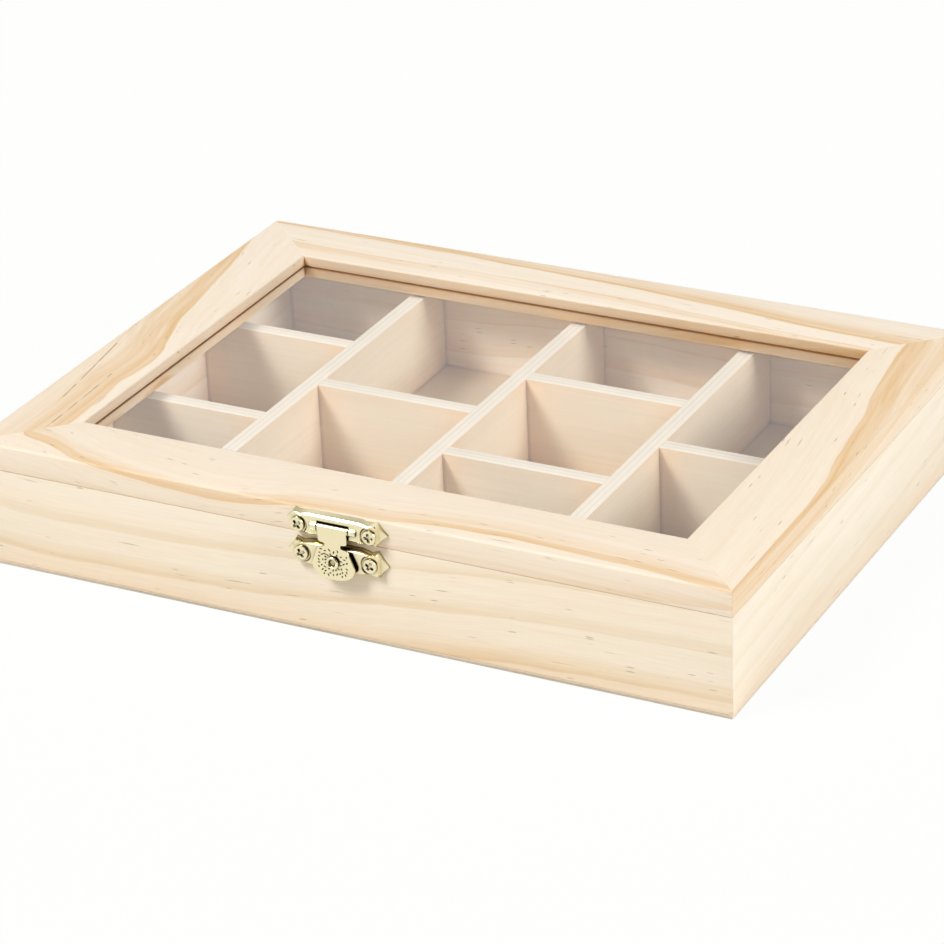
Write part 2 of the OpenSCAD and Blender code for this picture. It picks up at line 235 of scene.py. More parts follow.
# Painted shade on the wood's colour, in the compartments and then in creases: reach, the open
# share of a place's surroundings at which the tint is full, the share at which it ends, tint
PAINTED_SHADES = [(30, 0.12, 0.45, "#FFE0BC"), (3.5, 0.15, 0.46, "#A87E3C")]


def painted_shade_tint(tree, colour):
    """Painted shade: the wood's colour turns browner where its surroundings are closed, in the
    compartments and, much more, in grooves, in the seam and between the plates of the latch."""
    for reach, full, none, tint in PAINTED_SHADES:
        around = add(tree, "AmbientOcclusion", {"Distance": reach * MM}, samples=4)
        deep = add(tree, "MapRange", {
            "Value": around.outputs["AO"],
            "From Min": full, "From Max": none, "To Min": 1.0, "To Max": 0.0,
        })
        colour = add(
            tree, "Mix", {"Factor": deep, "A": colour, "B": linear(tint)},
            data_type="RGBA", blend_type="MULTIPLY",
        )
    return colour


def curve_value(tree, value, points, low, high):
    """A smooth curve through (place, value) pairs, as a node."""
    values = [v for _, v in points]
    bottom, top = min(values) - 1, max(values) + 1
    along = add(tree, "MapRange", {"Value": value, "From Min": low, "From Max": high})
    node = add(tree, "FloatCurve", {"Value": along})
    curve = node.mapping.curves[0]
    scaled = [((p - low) / (high - low), (v - bottom) / (top - bottom)) for p, v in sorted(points)]
    curve.points[0].location = scaled[0]
    curve.points[1].location = scaled[-1]
    for x, y in scaled[1:-1]:
        curve.points.new(x, y)
    node.mapping.update()
    return add(tree, "Math", {0: node, 1: top - bottom, 2: bottom}, operation="MULTIPLY_ADD")


def pine(name, turn, reach, length, slant, bands, pale, tan, ducts, seed, lip=0.0, cracks=()):
    """Planed pine for one board. Its own axes in mm: along the board, inwards from the outer
    face, and up. Slant is how far a band moves for each mm inwards and for each mm down. A band
    is (curve along the board, side, width, strength): its sharp edge lies on the curve and it
    fades away over its width on that side. The inner faces of a rail, in its opening, are tanner
    by lip, as painted shade. A crack is a curve of its own. What the eye gets is a matt, slightly
    streaky cream wood."""
    material, tree = clean_material(name)
    place = add(tree, "Mapping", {
        "Vector": add(tree, "TexCoord").outputs["Object"], "Location": (0, reach, 0),
        "Rotation": (0, 0, -turn), "Scale": (1 / MM, 1 / MM, 1 / MM),
    })
    along, inwards, up = add(tree, "SeparateXYZ", {0: place}).outputs
    drop = add(tree, "Math", {0: LID_TOP, 1: up}, operation="SUBTRACT")
    by_depth = add(tree, "Math", {0: inwards, 1: slant[0]}, operation="MULTIPLY")
    by_drop = add(tree, "Math", {0: drop, 1: slant[1]}, operation="MULTIPLY")
    across = add(tree, "Math", {0: by_depth, 1: by_drop}, operation="ADD")
    slow_place = add(tree, "CombineXYZ", {0: along, 1: across, 2: seed})
    slow = add(tree, "TexNoise", {
        "Vector": slow_place, "Scale": 1 / WAVE[0], "Detail": 3, "Roughness": 0.55,
    })
    slow = add(tree, "Math", {0: slow, 1: 0.5}, operation="SUBTRACT")
    wobble = add(tree, "Math", {0: slow, 1: WAVE[1]}, operation="MULTIPLY")
    banded = lean = None
    for points, side, width, strength in bands:
        edge = curve_value(tree, along, points, -length / 2, length / 2)
        lean = edge if lean is None else lean
        gap = add(tree, "Math", {0: across, 1: edge}, operation="SUBTRACT")
        gap = add(tree, "Math", {0: gap, 1: wobble}, operation="ADD")
        gap = add(tree, "Math", {0: gap, 1: side}, operation="MULTIPLY")
        sharp = add(tree, "MapRange", {"Value": gap, "From Min": -BAND_EDGE, "From Max": BAND_EDGE})
        fade = add(tree, "MapRange", {
            "Value": gap, "From Min": 0.0, "From Max": width, "To Min": 1.0, "To Max": 0.0,
        })
        soft = add(tree, "Math", {0: fade, 1: 1.5}, operation="POWER")
        band = add(tree, "Math", {0: sharp, 1: soft}, operation="MULTIPLY")
        band = add(tree, "Math", {0: band, 1: strength}, operation="MULTIPLY")
        if banded is not None:
            band = add(tree, "Math", {0: banded, 1: band}, operation="MAXIMUM")
        banded = band
    # The grain follows the first band, so streaks and ducts run beside it
    grain = add(tree, "Math", {0: across, 1: lean}, operation="SUBTRACT")
    depth = add(tree, "Math", {0: inwards, 1: drop}, operation="ADD")
    layer = add(tree, "Math", {0: depth, 1: LAYERS, 2: seed}, operation="MULTIPLY_ADD")
    run = add(tree, "CombineXYZ", {0: along, 1: grain, 2: layer})

    def streaks(size, detail=2.0):
        """Noise drawn out along the grain."""
        scale = (1 / size[0], 1 / size[1], 1 / size[1])
        drawn = add(tree, "Mapping", {"Vector": run, "Scale": scale})
        return add(tree, "TexNoise", {"Vector": drawn, "Scale": 1, "Detail": detail})

    rings = streaks(RINGS, 3.0)
    fibres = streaks(FIBRES)
    # The bands are uneven along their length, and between them the wood is faintly streaked
    lively = add(tree, "Math", {0: rings, 1: 1.5}, operation="MULTIPLY")
    lively = add(tree, "Math", {0: lively, 1: 0.25}, operation="ADD")
    banded = add(tree, "Math", {0: banded, 1: lively}, operation="MULTIPLY")
    # Painted shade: the rail's inner faces, in its opening, turn tanner by lip
    if lip:
        lip_painted_shade = add(tree, "MapRange", {
            "Value": inwards, "From Min": RAIL - 0.5, "From Max": RAIL - 0.1, "To Max": lip,
        })
        banded = add(tree, "Math", {0: banded, 1: lip_painted_shade}, operation="ADD")
    faint = add(tree, "Math", {0: rings, 1: 0.45}, operation="SUBTRACT")
    faint = add(tree, "Math", {0: faint, 1: 0.55}, operation="MULTIPLY")
    tone = add(tree, "Math", {0: banded, 1: faint}, operation="ADD", use_clamp=True)
    ground = {"Factor": streaks(BROAD), "A": linear(pale), "B": linear(PALE_WARM)}
    ground = add(tree, "Mix", ground, data_type="RGBA")
    wood = add(tree, "Mix", {"Factor": tone, "A": ground, "B": linear(tan)}, data_type="RGBA")
    fine = add(tree, "MapRange", {
        "Value": fibres, "From Min": 0.3, "From Max": 0.7, "To Min": 0.965, "To Max": 1.02,
    })
    wood = add(
        tree, "Mix", {"Factor": 1.0, "A": wood, "B": fine}, data_type="RGBA", blend_type="MULTIPLY"
    )
    # Resin ducts: thin strokes a few millimetres long, in loose groups, and some longer ones
    mark = None
    for stroke_mm, thick_mm, share in DUCTS:
        cells = add(tree, "Mapping", {
            "Vector": run, "Scale": (0.4 / stroke_mm, 0.4 / thick_mm, 0.4 / thick_mm),
        })
        duct = add(tree, "TexVoronoi", {"Vector": cells, "Scale": 1, "Randomness": 1})
        stroke = add(tree, "MapRange", {
            "Value": duct.outputs["Distance"],
            "From Min": 0.14, "From Max": 0.3, "To Min": 0.62, "To Max": 0.0,
        })
        pick = add(tree, "SeparateColor", {0: duct.outputs["Color"]})
        rare = add(tree, "Math", {0: pick, 1: 1 - share * ducts}, operation="GREATER_THAN")
        stroke = add(tree, "Math", {0: stroke, 1: rare}, operation="MULTIPLY")
        if mark is not None:
            stroke = add(tree, "Math", {0: mark, 1: stroke}, operation="MAXIMUM")
        mark = stroke
    group = add(tree, "TexNoise", {"Vector": slow_place, "Scale": 1 / DUCT_GROUP, "Detail": 1})
    group = add(tree, "MapRange", {"Value": group, "From Min": 0.42, "From Max": 0.56})
    mark = add(tree, "Math", {0: mark, 1: group}, operation="MULTIPLY")
    # Cracks: a thin broken line along each curve, which sways a little with the rings
    for points in cracks:
        start, end = points[0][0], points[-1][0]
        line = curve_value(tree, along, points, start, end)
        beside = add(tree, "Math", {0: across, 1: line}, operation="SUBTRACT")
        sway = add(tree, "Math", {0: wobble, 1: 0.4}, operation="MULTIPLY")
        beside = add(tree, "Math", {0: beside, 1: sway}, operation="ADD")
        beside = add(tree, "Math", {0: beside}, operation="ABSOLUTE")
        thin = add(tree, "MapRange", {
            "Value": beside, "From Min": 0.1, "From Max": 0.4, "To Min": 0.6, "To Max": 0.0,
        })
        broken = add(tree, "MapRange", {
            "Value": streaks(BREAKS), "From Min": 0.42, "From Max": 0.56, "To Min": 0.1,
        })
        thin = add(tree, "Math", {0: thin, 1: broken}, operation="MULTIPLY")
        started = add(tree, "Math", {0: along, 1: start}, operation="GREATER_THAN")
        unfinished = add(tree, "Math", {0: along, 1: end}, operation="LESS_THAN")
        within = add(tree, "Math", {0: started, 1: unfinished}, operation="MULTIPLY")
        crack = add(tree, "Math", {0: thin, 1: within}, operation="MULTIPLY")
        mark = add(tree, "Math", {0: mark, 1: crack}, operation="MAXIMUM")
    wood = add(tree, "Mix", {"Factor": mark, "A": wood, "B": linear(DUCT)}, data_type="RGBA")
    # Painted shade: browner in the compartments and in creases
    wood = painted_shade_tint(tree, wood)
    rough = add(tree, "MapRange", {"Value": fibres, "To Min": 0.52, "To Max": 0.66})
    dent = add(tree, "Math", {0: mark, 1: 1.5}, operation="MULTIPLY")
    relief = add(tree, "Math", {0: fibres, 1: dent}, operation="SUBTRACT")
    bump = add(tree, "Bump", {"Height": relief, "Strength": 0.25, "Distance": 0.04 * MM})
    shader = add(tree, "BsdfPrincipled", {
        "Base Color": wood, "Roughness": rough, "Specular IOR Level": 0.3, "Normal": bump,
    })
    add(tree, "OutputMaterial", {"Surface": shader})
    return material


def shade(obj, angle):
    """Smooth shading that stays sharp at edges steeper than the angle in degrees."""
    obj.data.shade_smooth()
    obj.data.set_sharp_from_angle(angle=math.radians(angle))


def board(name, material, turn, reach, length, section, rounds, body, node):
    """A mitred board: a section of (inwards, up) points in mm, drawn out along its length. Rounds
    are (point numbers, radius, segments): the long edges at those points are eased."""
    bm = bmesh.new()
    ring = [bm.verts.new((-length / 2, y, z)) for y, z in section]
    face = bm.faces.new(ring)
    grown = bmesh.ops.extrude_face_region(bm, geom=[face])["geom"]
    far = [v for v in grown if isinstance(v, bmesh.types.BMVert)]
    bmesh.ops.translate(bm, verts=far, vec=(length, 0, 0))
    for v in bm.verts:
        v.co.x -= math.copysign(v.co.y, v.co.x)
    for points, radius, segments in rounds:
        spots = [Vector(section[i]) for i in points]
        edges = [
            e
            for e in bm.edges
            if (e.verts[0].co.x < 0) != (e.verts[1].co.x < 0)
            and any((Vector(e.verts[0].co.yz) - spot).length < 1e-4 for spot in spots)
        ]
        bmesh.ops.bevel(
            bm, geom=edges, offset=radius, affect="EDGES", segments=segments, profile=0.5,
            material=-1,
        )
    # The mitred ends, the faces with many corners, are eased a hair: this draws the joint
    ends = [
        e
        for e in bm.edges
        if (e.verts[0].co.x < 0) == (e.verts[1].co.x < 0)
        and any(len(face.verts) > 5 for face in e.link_faces)
    ]
    bmesh.ops.bevel(
        bm, geom=ends, offset=MITRE_EASE, affect="EDGES", segments=1, profile=0.5, material=-1
    )
    stand = Matrix.Scale(MM, 4) @ Matrix.Rotation(turn, 4, "Z") @ Matrix.Translation((0, -reach, 0))
    bmesh.ops.transform(bm, verts=bm.verts, matrix=stand)
    obj = new_object(name, bm, [material])
    shade(obj, 40)
    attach(obj, body)
    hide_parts(node)


front, right, back, left = 0, math.pi / 2, math.pi, -math.pi / 2
wall_section = [(0, BOTTOM), (0, SEAM), (WALL, SEAM), (WALL, BOTTOM)]
wall_rounds = [((1, 0), 0.35, 2), ((2,), 0.3, 2)]
# How far the bands of a wall move for each mm inwards and for each mm down
WALL_SLANT = (0.25, 1.0)

# Sharp edges of the bands: place from the middle, depth below the lid's top
front_wave = [
    (-140, 36.2), (-110, 38.4), (-90, 38), (-60, 37.4), (-40, 36.5), (-20, 35), (0, 33),
    (20, 30.5), (40, 28.5), (60, 26.5), (80, 25.2), (100, 24.7), (120, 24), (140, 23.5),
]
front_bands = [
    (front_wave, -1, 7, 0.6),
    ([(x, y - 14.1) for x, y in front_wave], -1, 7, 0.5),
    ([(x, y + 16.3 - (x < 0) * 0.5) for x, y in front_wave], -1, 8, 0.68),
]
side_wave = [(-104.5, 28), (-80, 26), (-50, 24), (0, 21.5), (50, 18), (104.5, 12)]
side_bands = [
    (side_wave, -1, 8, 0.16),
    ([(y, z + 8.5) for y, z in side_wave], -1, 8, 0.16),
    ([(y, z + 17) for y, z in side_wave], -1, 8, 0.2),
    ([(y, z - 9) for y, z in side_wave], -1, 8, 0.12),
]
back_wave = [(-140, 22), (-70, 26), (0, 24), (70, 28), (140, 25)]
back_bands = [(back_wave, -1, 9, 0.7), ([(x, z + 13) for x, z in back_wave], -1, 10, 0.6)]
left_wave = [(-104.5, 20), (-30, 24), (40, 22), (104.5, 27)]
left_bands = [(left_wave, -1, 8, 0.6), ([(x, z + 12) for x, z in left_wave], -1, 9, 0.5)]
# Each wall's pale and tan are partly painted light: the right wall is lighter and the front wall
# darker, for how the light falls on each side
walls = [
    # node, piece, side, reach, length, bands, pale, tan, ducts, seed
    ("base_front", "front_wall", front, BOX_D / 2, BOX_W, front_bands,
     "#F4EEDF", "#E5D1AD", 1.3, 3.0),
    ("base_right", "right_wall", right, BOX_W / 2, BOX_D, side_bands,
     "#FCFAEF", "#E6D8B8", 0.5, 11.0),
    ("base_back", "back_wall", back, BOX_D / 2, BOX_W, back_bands, PALE, TAN, 1.0, 23.0),
    ("base_left", "left_wall", left, BOX_W / 2, BOX_D, left_bands, PALE, TAN, 1.0, 31.0),
]
for node, name, turn, reach, length, bands, pale, tan, ducts, seed in walls:
    wood = pine(
        "pine_planed_" + name, turn, reach, length, WALL_SLANT, bands, pale, tan, ducts, seed
    )
    board(name, wood, turn, reach, length, wall_section, wall_rounds, "base", node)

# ---------- Bottom panel ----------
# One sheet of thin poplar plywood glued under the walls: grey-beige faces, and an edge that is
# pale at the top. Its lowest ply is dark along the front and back, and pale at the sides.

BOTTOM_FACE = ("#DCCBB0", "#D6C3A6")
BOTTOM_EDGE = "#EDE3D0"
BOTTOM_CORE = "#756E62"
BOTTOM_CORE_SIDE = "#E9E3D6"
BOTTOM_CORE_Z = 0.4
# Streaks on a ply, length and width, again coarser than real fibres, and the size of its clouds
PLY_FIBRES = (60, 1.2)
PLY_CLOUDS = 35


def block(bm, low, high):
    """Adds a box between two corners."""
    made = bmesh.ops.create_cube(bm, size=1)["verts"]
    size = [b - a for a, b in zip(low, high)]
    middle = [(a + b) / 2 for a, b in zip(low, high)]
    bmesh.ops.scale(bm, vec=size, verts=made)
    bmesh.ops.translate(bm, vec=middle, verts=made)


def strip(name, node, material, ease):
    """A straight piece of sheet in the place of its CAD node, with its edges eased."""
    low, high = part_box(node)
    bm = bmesh.new()
    block(bm, [v / MM for v in low], [v / MM for v in high])
    bmesh.ops.bevel(
        bm, geom=bm.edges, offset=ease, affect="EDGES", segments=2, profile=0.5, material=-1
    )
    bmesh.ops.scale(bm, vec=(MM, MM, MM), verts=bm.verts)
    obj = new_object(name, bm, [material])
    shade(obj, 40)
    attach(obj, "base")
    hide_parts(node)


def plywood(name, face, edge, core, thin, fibre_axis, centre, sheet, seed, side_core=None):
    """Sanded plywood, thin along one axis: a calm face with faint fibres, and darker glue lines
    or a dark ply on its edge, a sixth of the sheet to both sides of its centre. Where side_core
    is given, that ply takes it on the faces that look along X, and core on the others."""
    material, tree = clean_material(name)
    coords = add(tree, "TexCoord")
    here = coords.outputs["Object"]
    long_mm, wide_mm = PLY_FIBRES
    drawn = add(tree, "Mapping", {
        "Vector": here, "Location": (seed, seed, seed),
        "Scale": tuple((1 / long_mm if axis == fibre_axis else 1 / wide_mm) / MM for axis in "XYZ"),
    })
    fibres = add(tree, "TexNoise", {"Vector": drawn, "Scale": 1, "Detail": 3})
    cloudy = add(tree, "TexNoise", {"Vector": here, "Scale": 1 / (PLY_CLOUDS * MM), "Detail": 2})
    across = add(tree, "SeparateXYZ", {0: here}).outputs[thin]
    offset = add(tree, "Math", {0: across, 1: centre}, operation="SUBTRACT")
    offset = add(tree, "Math", {0: offset}, operation="ABSOLUTE")
    offset = add(tree, "Math", {0: offset, 1: sheet / 6}, operation="SUBTRACT")
    offset = add(tree, "Math", {0: offset}, operation="ABSOLUTE")
    line = add(tree, "MapRange", {
        "Value": offset, "From Min": 0.1 * MM, "From Max": 0.45 * MM, "To Min": 1.0, "To Max": 0.0,
    })
    normal = add(tree, "SeparateXYZ", {0: coords.outputs["Normal"]})
    facing = add(tree, "Math", {0: normal.outputs[thin]}, operation="ABSOLUTE")
    on_edge = add(tree, "MapRange", {
        "Value": facing, "From Min": 0.3, "From Max": 0.6, "To Min": 1.0, "To Max": 0.0,
    })
    warm = {"Factor": cloudy, "A": linear(face[0]), "B": linear(face[1])}
    warm = add(tree, "Mix", warm, data_type="RGBA")
    fine = add(tree, "MapRange", {
        "Value": fibres, "From Min": 0.3, "From Max": 0.7, "To Min": 0.96, "To Max": 1.02,
    })
    flat = add(
        tree, "Mix", {"Factor": 1.0, "A": warm, "B": fine}, data_type="RGBA", blend_type="MULTIPLY"
    )
    # Painted shade: browner in the compartments and in creases
    flat = painted_shade_tint(tree, flat)
    dark = linear(core)
    if side_core:
        beside = add(tree, "Math", {0: normal.outputs["X"]}, operation="ABSOLUTE")
        dark = {"Factor": beside, "A": dark, "B": linear(side_core)}
        dark = add(tree, "Mix", dark, data_type="RGBA")
    uneven = add(tree, "Math", {0: line, 1: fibres}, operation="MULTIPLY")
    rim = add(tree, "Mix", {"Factor": uneven, "A": linear(edge), "B": dark}, data_type="RGBA")
    colour = add(tree, "Mix", {"Factor": on_edge, "A": flat, "B": rim}, data_type="RGBA")
    bump = add(tree, "Bump", {"Height": fibres, "Strength": 0.2, "Distance": 0.03 * MM})
    shader = add(tree, "BsdfPrincipled", {
        "Base Color": colour, "Roughness": 0.62, "Specular IOR Level": 0.3, "Normal": bump,
    })
    add(tree, "OutputMaterial", {"Surface": shader})
    return material


# Poplar plywood, sanded: matt, a little greyer than the pine
bottom_ply = plywood(
    "poplar_plywood_sanded_bottom", BOTTOM_FACE, BOTTOM_EDGE, BOTTOM_CORE, "Z", "X",
    BOTTOM_CORE_Z * MM, BOTTOM * MM, 0.4, BOTTOM_CORE_SIDE,
)
strip("bottom_sheet", "bottom_panel", bottom_ply, 0.15)

# ---------- Dividers ----------
# Strips of basswood plywood, halved into each other and glued to the walls. The sides are
# cream and calm, the sawn top edges are nearly white with thin grey glue lines.

DIVIDER = 6
DIVIDER_FACE = ("#F7ECD6", "#F2E4C9")
DIVIDER_EDGE = "#EFE9DA"
DIVIDER_GLUE = "#D6CDBD"
dividers = [
    # node, axis that it is thin along, axis that it runs along
    ("long_divider_left", "X", "Y"),
    ("long_divider_middle", "X", "Y"),
    ("long_divider_right", "X", "Y"),
    ("cross_divider_a_front", "Y", "X"),
    ("cross_divider_a_back", "Y", "X"),
    ("cross_divider_b", "Y", "X"),
    ("cross_divider_c_front", "Y", "X"),
    ("cross_divider_c_back", "Y", "X"),
    ("cross_divider_d", "Y", "X"),
]
for number, (node, thin, run) in enumerate(dividers):
    low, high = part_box(node)
    axis = "XYZ".index(thin)
    # Basswood plywood, sanded: matt and even, with pale sawn edges
    ply = plywood(
        "basswood_plywood_sanded_" + node, DIVIDER_FACE, DIVIDER_EDGE, DIVIDER_GLUE, thin, run,
        (low[axis] + high[axis]) / 2, DIVIDER * MM, 1.7 * number,
    )
    strip(node.replace("divider", "strip"), node, ply, 0.2)

# ---------- Glass ----------
# Clear float glass, 1.8 mm thick, held in the groove of the rails. It lets light through to
# the compartments, so its shadow is left out.

glass, tree = clean_material("float_glass_clear")
pane = add(tree, "BsdfPrincipled", {
    "Base Color": linear("#FFFFFF"), "Roughness": 0.0, "IOR": 1.5, "Transmission Weight": 1.0,
})
clear = add(tree, "BsdfTransparent", {"Color": linear("#FFFFFF")})
rays = add(tree, "LightPath")
share = add(
    tree, "Math", {0: rays.outputs["Is Shadow Ray"], 1: rays.outputs["Is Diffuse Ray"]},
    operation="MAXIMUM",
)
add(tree, "OutputMaterial", {"Surface": add(tree, "MixShader", {0: share, 1: pane, 2: clear})})
pane_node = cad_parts["glass_pane"]
pane_node.data.materials.clear()
pane_node.data.materials.append(glass)

# ---------- Lid rails ----------
# Four flat pine rails with mitred corners, a softly sanded outer arris and a narrow groove for
# the glass at half height.

# The groove's lower and upper side above the seam, and its depth
GROOVE = (4.7 - 1.0, 4.7 + 1.0, 5.1)
groove_low, groove_high, groove_end = SEAM + GROOVE[0], SEAM + GROOVE[1], RAIL - GROOVE[2]
rail_section = [
    (0, SEAM), (0, LID_TOP), (RAIL, LID_TOP), (RAIL, groove_high),
    (groove_end, groove_high), (groove_end, groove_low), (RAIL, groove_low), (RAIL, SEAM),
]
rail_rounds = [((1,), 1.0, 5), ((2,), 0.6, 4), ((0, 7), 0.3, 2)]
front_rail_bands = [
    ([(-140, 27), (-128, 13.3), (-125, 9.8), (-116, 7.8), (-108, 4.3), (-100, 0.8), (-92, -1.5),
      (-75, -5), (-60, -7.4), (-45, -8.2), (-30, -5.5), (-15, -1), (5, 0.3), (15, 0.6), (25, 2.3),
      (35, 3.8), (50, 4.8), (60, 5.3), (75, 4.3), (100, 3.3), (115, 1.8), (125, 0.3), (140, -2)],
     1, 11, 1.0),
    ([(-140, -24), (40, -22), (100, -19), (140, -14)], 1, 12, 0.45),
]
back_rail_bands = [
    ([(-140, 20), (-120, 19), (-110, 18.5), (-85, 16.5), (-60, 13.5), (-35, 11), (-10, 8.5),
      (10, 7.5), (40, 6), (55, 5), (100, 3.5), (140, 2.5)], -1, 11, 0.9),
    ([(-140, 27), (-100, 25), (-60, 22), (-10, 18), (40, 16.5), (90, 17), (120, 16), (140, 14)],
     1, 9, 0.55),
]
left_rail_bands = [
    ([(-104.5, -2), (-84.5, 1), (-74.5, 3), (-59.5, 6), (-44.5, 8.5), (-29.5, 11), (-9.5, 14),
      (0.5, 17), (10.5, 20), (17.5, 22.5), (25.5, 23.5), (35.5, 23), (45.5, 22), (55.5, 23),
      (70.5, 23.5), (80.5, 23.5), (104.5, 22)], -1, 32, 0.8),
    ([(-104.5, -6), (12.5, 2.6), (20.5, 4.5), (30.5, 6), (42.5, 6.8), (55.5, 9), (65.5, 10.5),
      (90.5, 13.5), (104.5, 14)], -1, 1.2, 0.9),
]
right_rail_bands = [
    ([(104.5, 21), (87.5, 17), (74.5, 16), (59.5, 14.5), (44.5, 12.5), (29.5, 9.5), (9.5, 7),
      (-10.5, 4.5), (-25.5, 2.3), (-40.5, 1.2), (-70.5, 0.7), (-104.5, 0)], -1, 34, 0.85),
]
# Two fine drying cracks: place along the rail, place inwards
left_rail_cracks = [
    [(17, 3.5), (42, 7.2), (64.8, 10.2)],
    [(39.6, 15.4), (62, 16.8), (85.9, 17.6)],
]
# Each rail's pale and lip are partly painted light and shade: the back rail is lighter, for the
# lamps' light that falls off towards it, and lip differs with how lit each inner face is
rails = [
    # node, piece, side, reach, length, slant, bands, pale, ducts, seed, lip, cracks
    ("lid_front", "front_rail", front, BOX_D / 2, BOX_W, (1.0, -2.0), front_rail_bands,
     "#F6EDDF", 1.5, 41.0, 0.3, ()),
    ("lid_right", "right_rail", right, BOX_W / 2, BOX_D, (1.0, -1.5), right_rail_bands,
     "#FAF1E1", 1.0, 53.0, 0.3, ()),
    ("lid_back", "back_rail", back, BOX_D / 2, BOX_W, (1.0, -0.6), back_rail_bands,
     "#FFFAF0", 0.8, 67.0, 0.38, ()),
    ("lid_left", "left_rail", left, BOX_W / 2, BOX_D, (1.0, -0.5), left_rail_bands,
     "#FAF3E6", 1.1, 71.0, 0.1, left_rail_cracks),
]
for node, name, turn, reach, length, slant, bands, pale, ducts, seed, lip, cracks in rails:
    wood = pine(
        "pine_sanded_" + name, turn, reach, length, slant, bands, pale, TAN, ducts, seed, lip,
        cracks,
    )
    board(name, wood, turn, reach, length, rail_section, rail_rounds, "lid", node)

# ---------- Hinges ----------
# Two small butt hinges behind the box, screwed to the back faces: brass-plated steel leaves
# with rolled knuckles, a steel pin through them and four cross-head screws each.

BRASS_SHEET = "#F0E5BC"
BRASS_SCREW = "#EFE5C0"
BRASS_PIN = "#EFE4BC"
# Brown of the painted shade in the plating's creases
BRASS_PAINTED_SHADE = "#5A4A12"
# Painted shade in creases: how far a surface has to be from another, and the open shares of
# its surroundings between which it turns from brown to bright
CREASE_REACH = 3.2
CREASE_RANGE = (0.42, 0.92)


def plated(name, colour, roughness, grain_mm):
    """Bright brass plating on steel: a clear, slightly uneven mirror, with painted shade that makes
    it browner in its creases."""
    material, tree = clean_material(name)
    here = add(tree, "TexCoord").outputs["Object"]
    # The grain of the plating is drawn as coarse as it needs to show
    mottle = add(tree, "TexNoise", {"Vector": here, "Scale": 1 / (grain_mm * MM), "Detail": 2})
    rough = add(tree, "MapRange", {
        "Value": mottle, "To Min": roughness * 0.7, "To Max": roughness * 1.4,
    })
    # Painted shade: the colour turns brown near other surfaces
    around = add(tree, "AmbientOcclusion", {"Distance": CREASE_REACH * MM}, samples=8)
    bright = add(tree, "MapRange", {
        "Value": around.outputs["AO"], "From Min": CREASE_RANGE[0], "From Max": CREASE_RANGE[1],
    })
    tint = {"Factor": bright, "A": linear(BRASS_PAINTED_SHADE), "B": linear(colour)}
    tint = add(tree, "Mix", tint, data_type="RGBA")
    bump = add(tree, "Bump", {"Height": mottle, "Strength": 0.12, "Distance": 0.03 * MM})
    shader = add(tree, "BsdfPrincipled", {
        "Base Color": tint, "Metallic": 1.0, "Roughness": rough, "Normal": bump,
    })
    add(tree, "OutputMaterial", {"Surface": shader})
    return material


# Pressed sheet has the softest shine, screws are barrel-plated and duller, pins are drawn wire
brass_sheet = plated("steel_sheet_brass_plated", BRASS_SHEET, 0.16, 0.8)
brass_screw = plated("steel_screw_brass_plated", BRASS_SCREW, 0.22, 0.5)
brass_pin = plated("steel_pin_brass_plated", BRASS_PIN, 0.14, 0.5)


def refine(name, node, material, body, ease):
    """A copy of a CAD node with its sharp edges eased."""
    bm = bmesh.new()
    bm.from_mesh(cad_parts[node].data)
    bmesh.ops.remove_doubles(bm, verts=bm.verts, dist=0.001 * MM)
    bmesh.ops.dissolve_limit(bm, angle_limit=math.radians(1), verts=bm.verts, edges=bm.edges)
    steep = math.radians(40)
    sharp = [e for e in bm.edges if len(e.link_faces) == 2 and e.calc_face_angle(0) > steep]
    bmesh.ops.bevel(
        bm, geom=sharp, offset=ease * MM, affect="EDGES", segments=2, profile=0.5, material=-1,
        clamp_overlap=True,
    )
    obj = new_object(name, bm, [material])
    shade(obj, 35)
    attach(obj, body)
    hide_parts(node)


leaves = [("fixed", "hinge_base_leaf_", "base"), ("moving", "hinge_lid_leaf_", "lid")]
for side in ("left", "right"):
    for kind, node, body in leaves:
        name = "hinge_" + kind + "_leaf_" + side
        refine(name, node + side, brass_sheet, body, 0.12)
    refine("hinge_rod_" + side, "hinge_pin_" + side, brass_pin, "base", 0.2)
refine("hinge_fixed_screws", "hinge_base_screws", brass_screw, "base", 0.08)
refine("hinge_moving_screws", "hinge_lid_screws", brass_screw, "lid", 0.08)

# ---------- Hasp and catch plates ----------
# Two pressed plates of 0.6 mm brass-plated sheet: a raised middle with a rounded ridge, a lower
# ear for each screw and a sloping tip at both ends. The upper one has a window with two rolled
# knuckles, the lower one a stud that the leaf snaps over. All lengths here are in mm.

LATCH_X = 0.9
# Half the width between the tips' feet, and half the height that the outline is drawn for
PLATE = (15.2, 4.45)
TIP = 3.6
SHEET = 0.6
# Middles of the plates above the table; screws as place from the middle and height; the ears'
# height off the wood
HASP_MID = 41.35
CATCH_MID = 30.05
HASP_SCREWS = (13.2, 41.0)
CATCH_SCREWS = (12.7, 30.3)
HASP_SEAT = 2.9
CATCH_SEAT = 2.3
# Steps of the pressed edges: how far in, how high
HASP_EDGE = [(0.0, 0.2), (0.3, 2.43), (0.44, 0.42), (0.22, 0.17), (0.3, 0.08)]
CATCH_EDGE = [(0.0, 0.2), (0.6, 1.97), (0.26, 0.3), (0.18, 0.15), (0.25, 0.08)]
# How far each plate reaches above and below its middle
HASP_HALVES = (4.25, 3.8)
CATCH_HALVES = (5.0, 4.45)
# How wide the step around a screw is at its foot, and how much wider at its top
HASP_EAR = 3.1
CATCH_EAR = 3.15
EAR_SLOPE = 0.55
SCREW_HOLE = 1.15
# The tip: how deep the steep step before it is, and how far its point ends off the wood
TIP_STEP = 1.3
TIP_LOW = 0.5
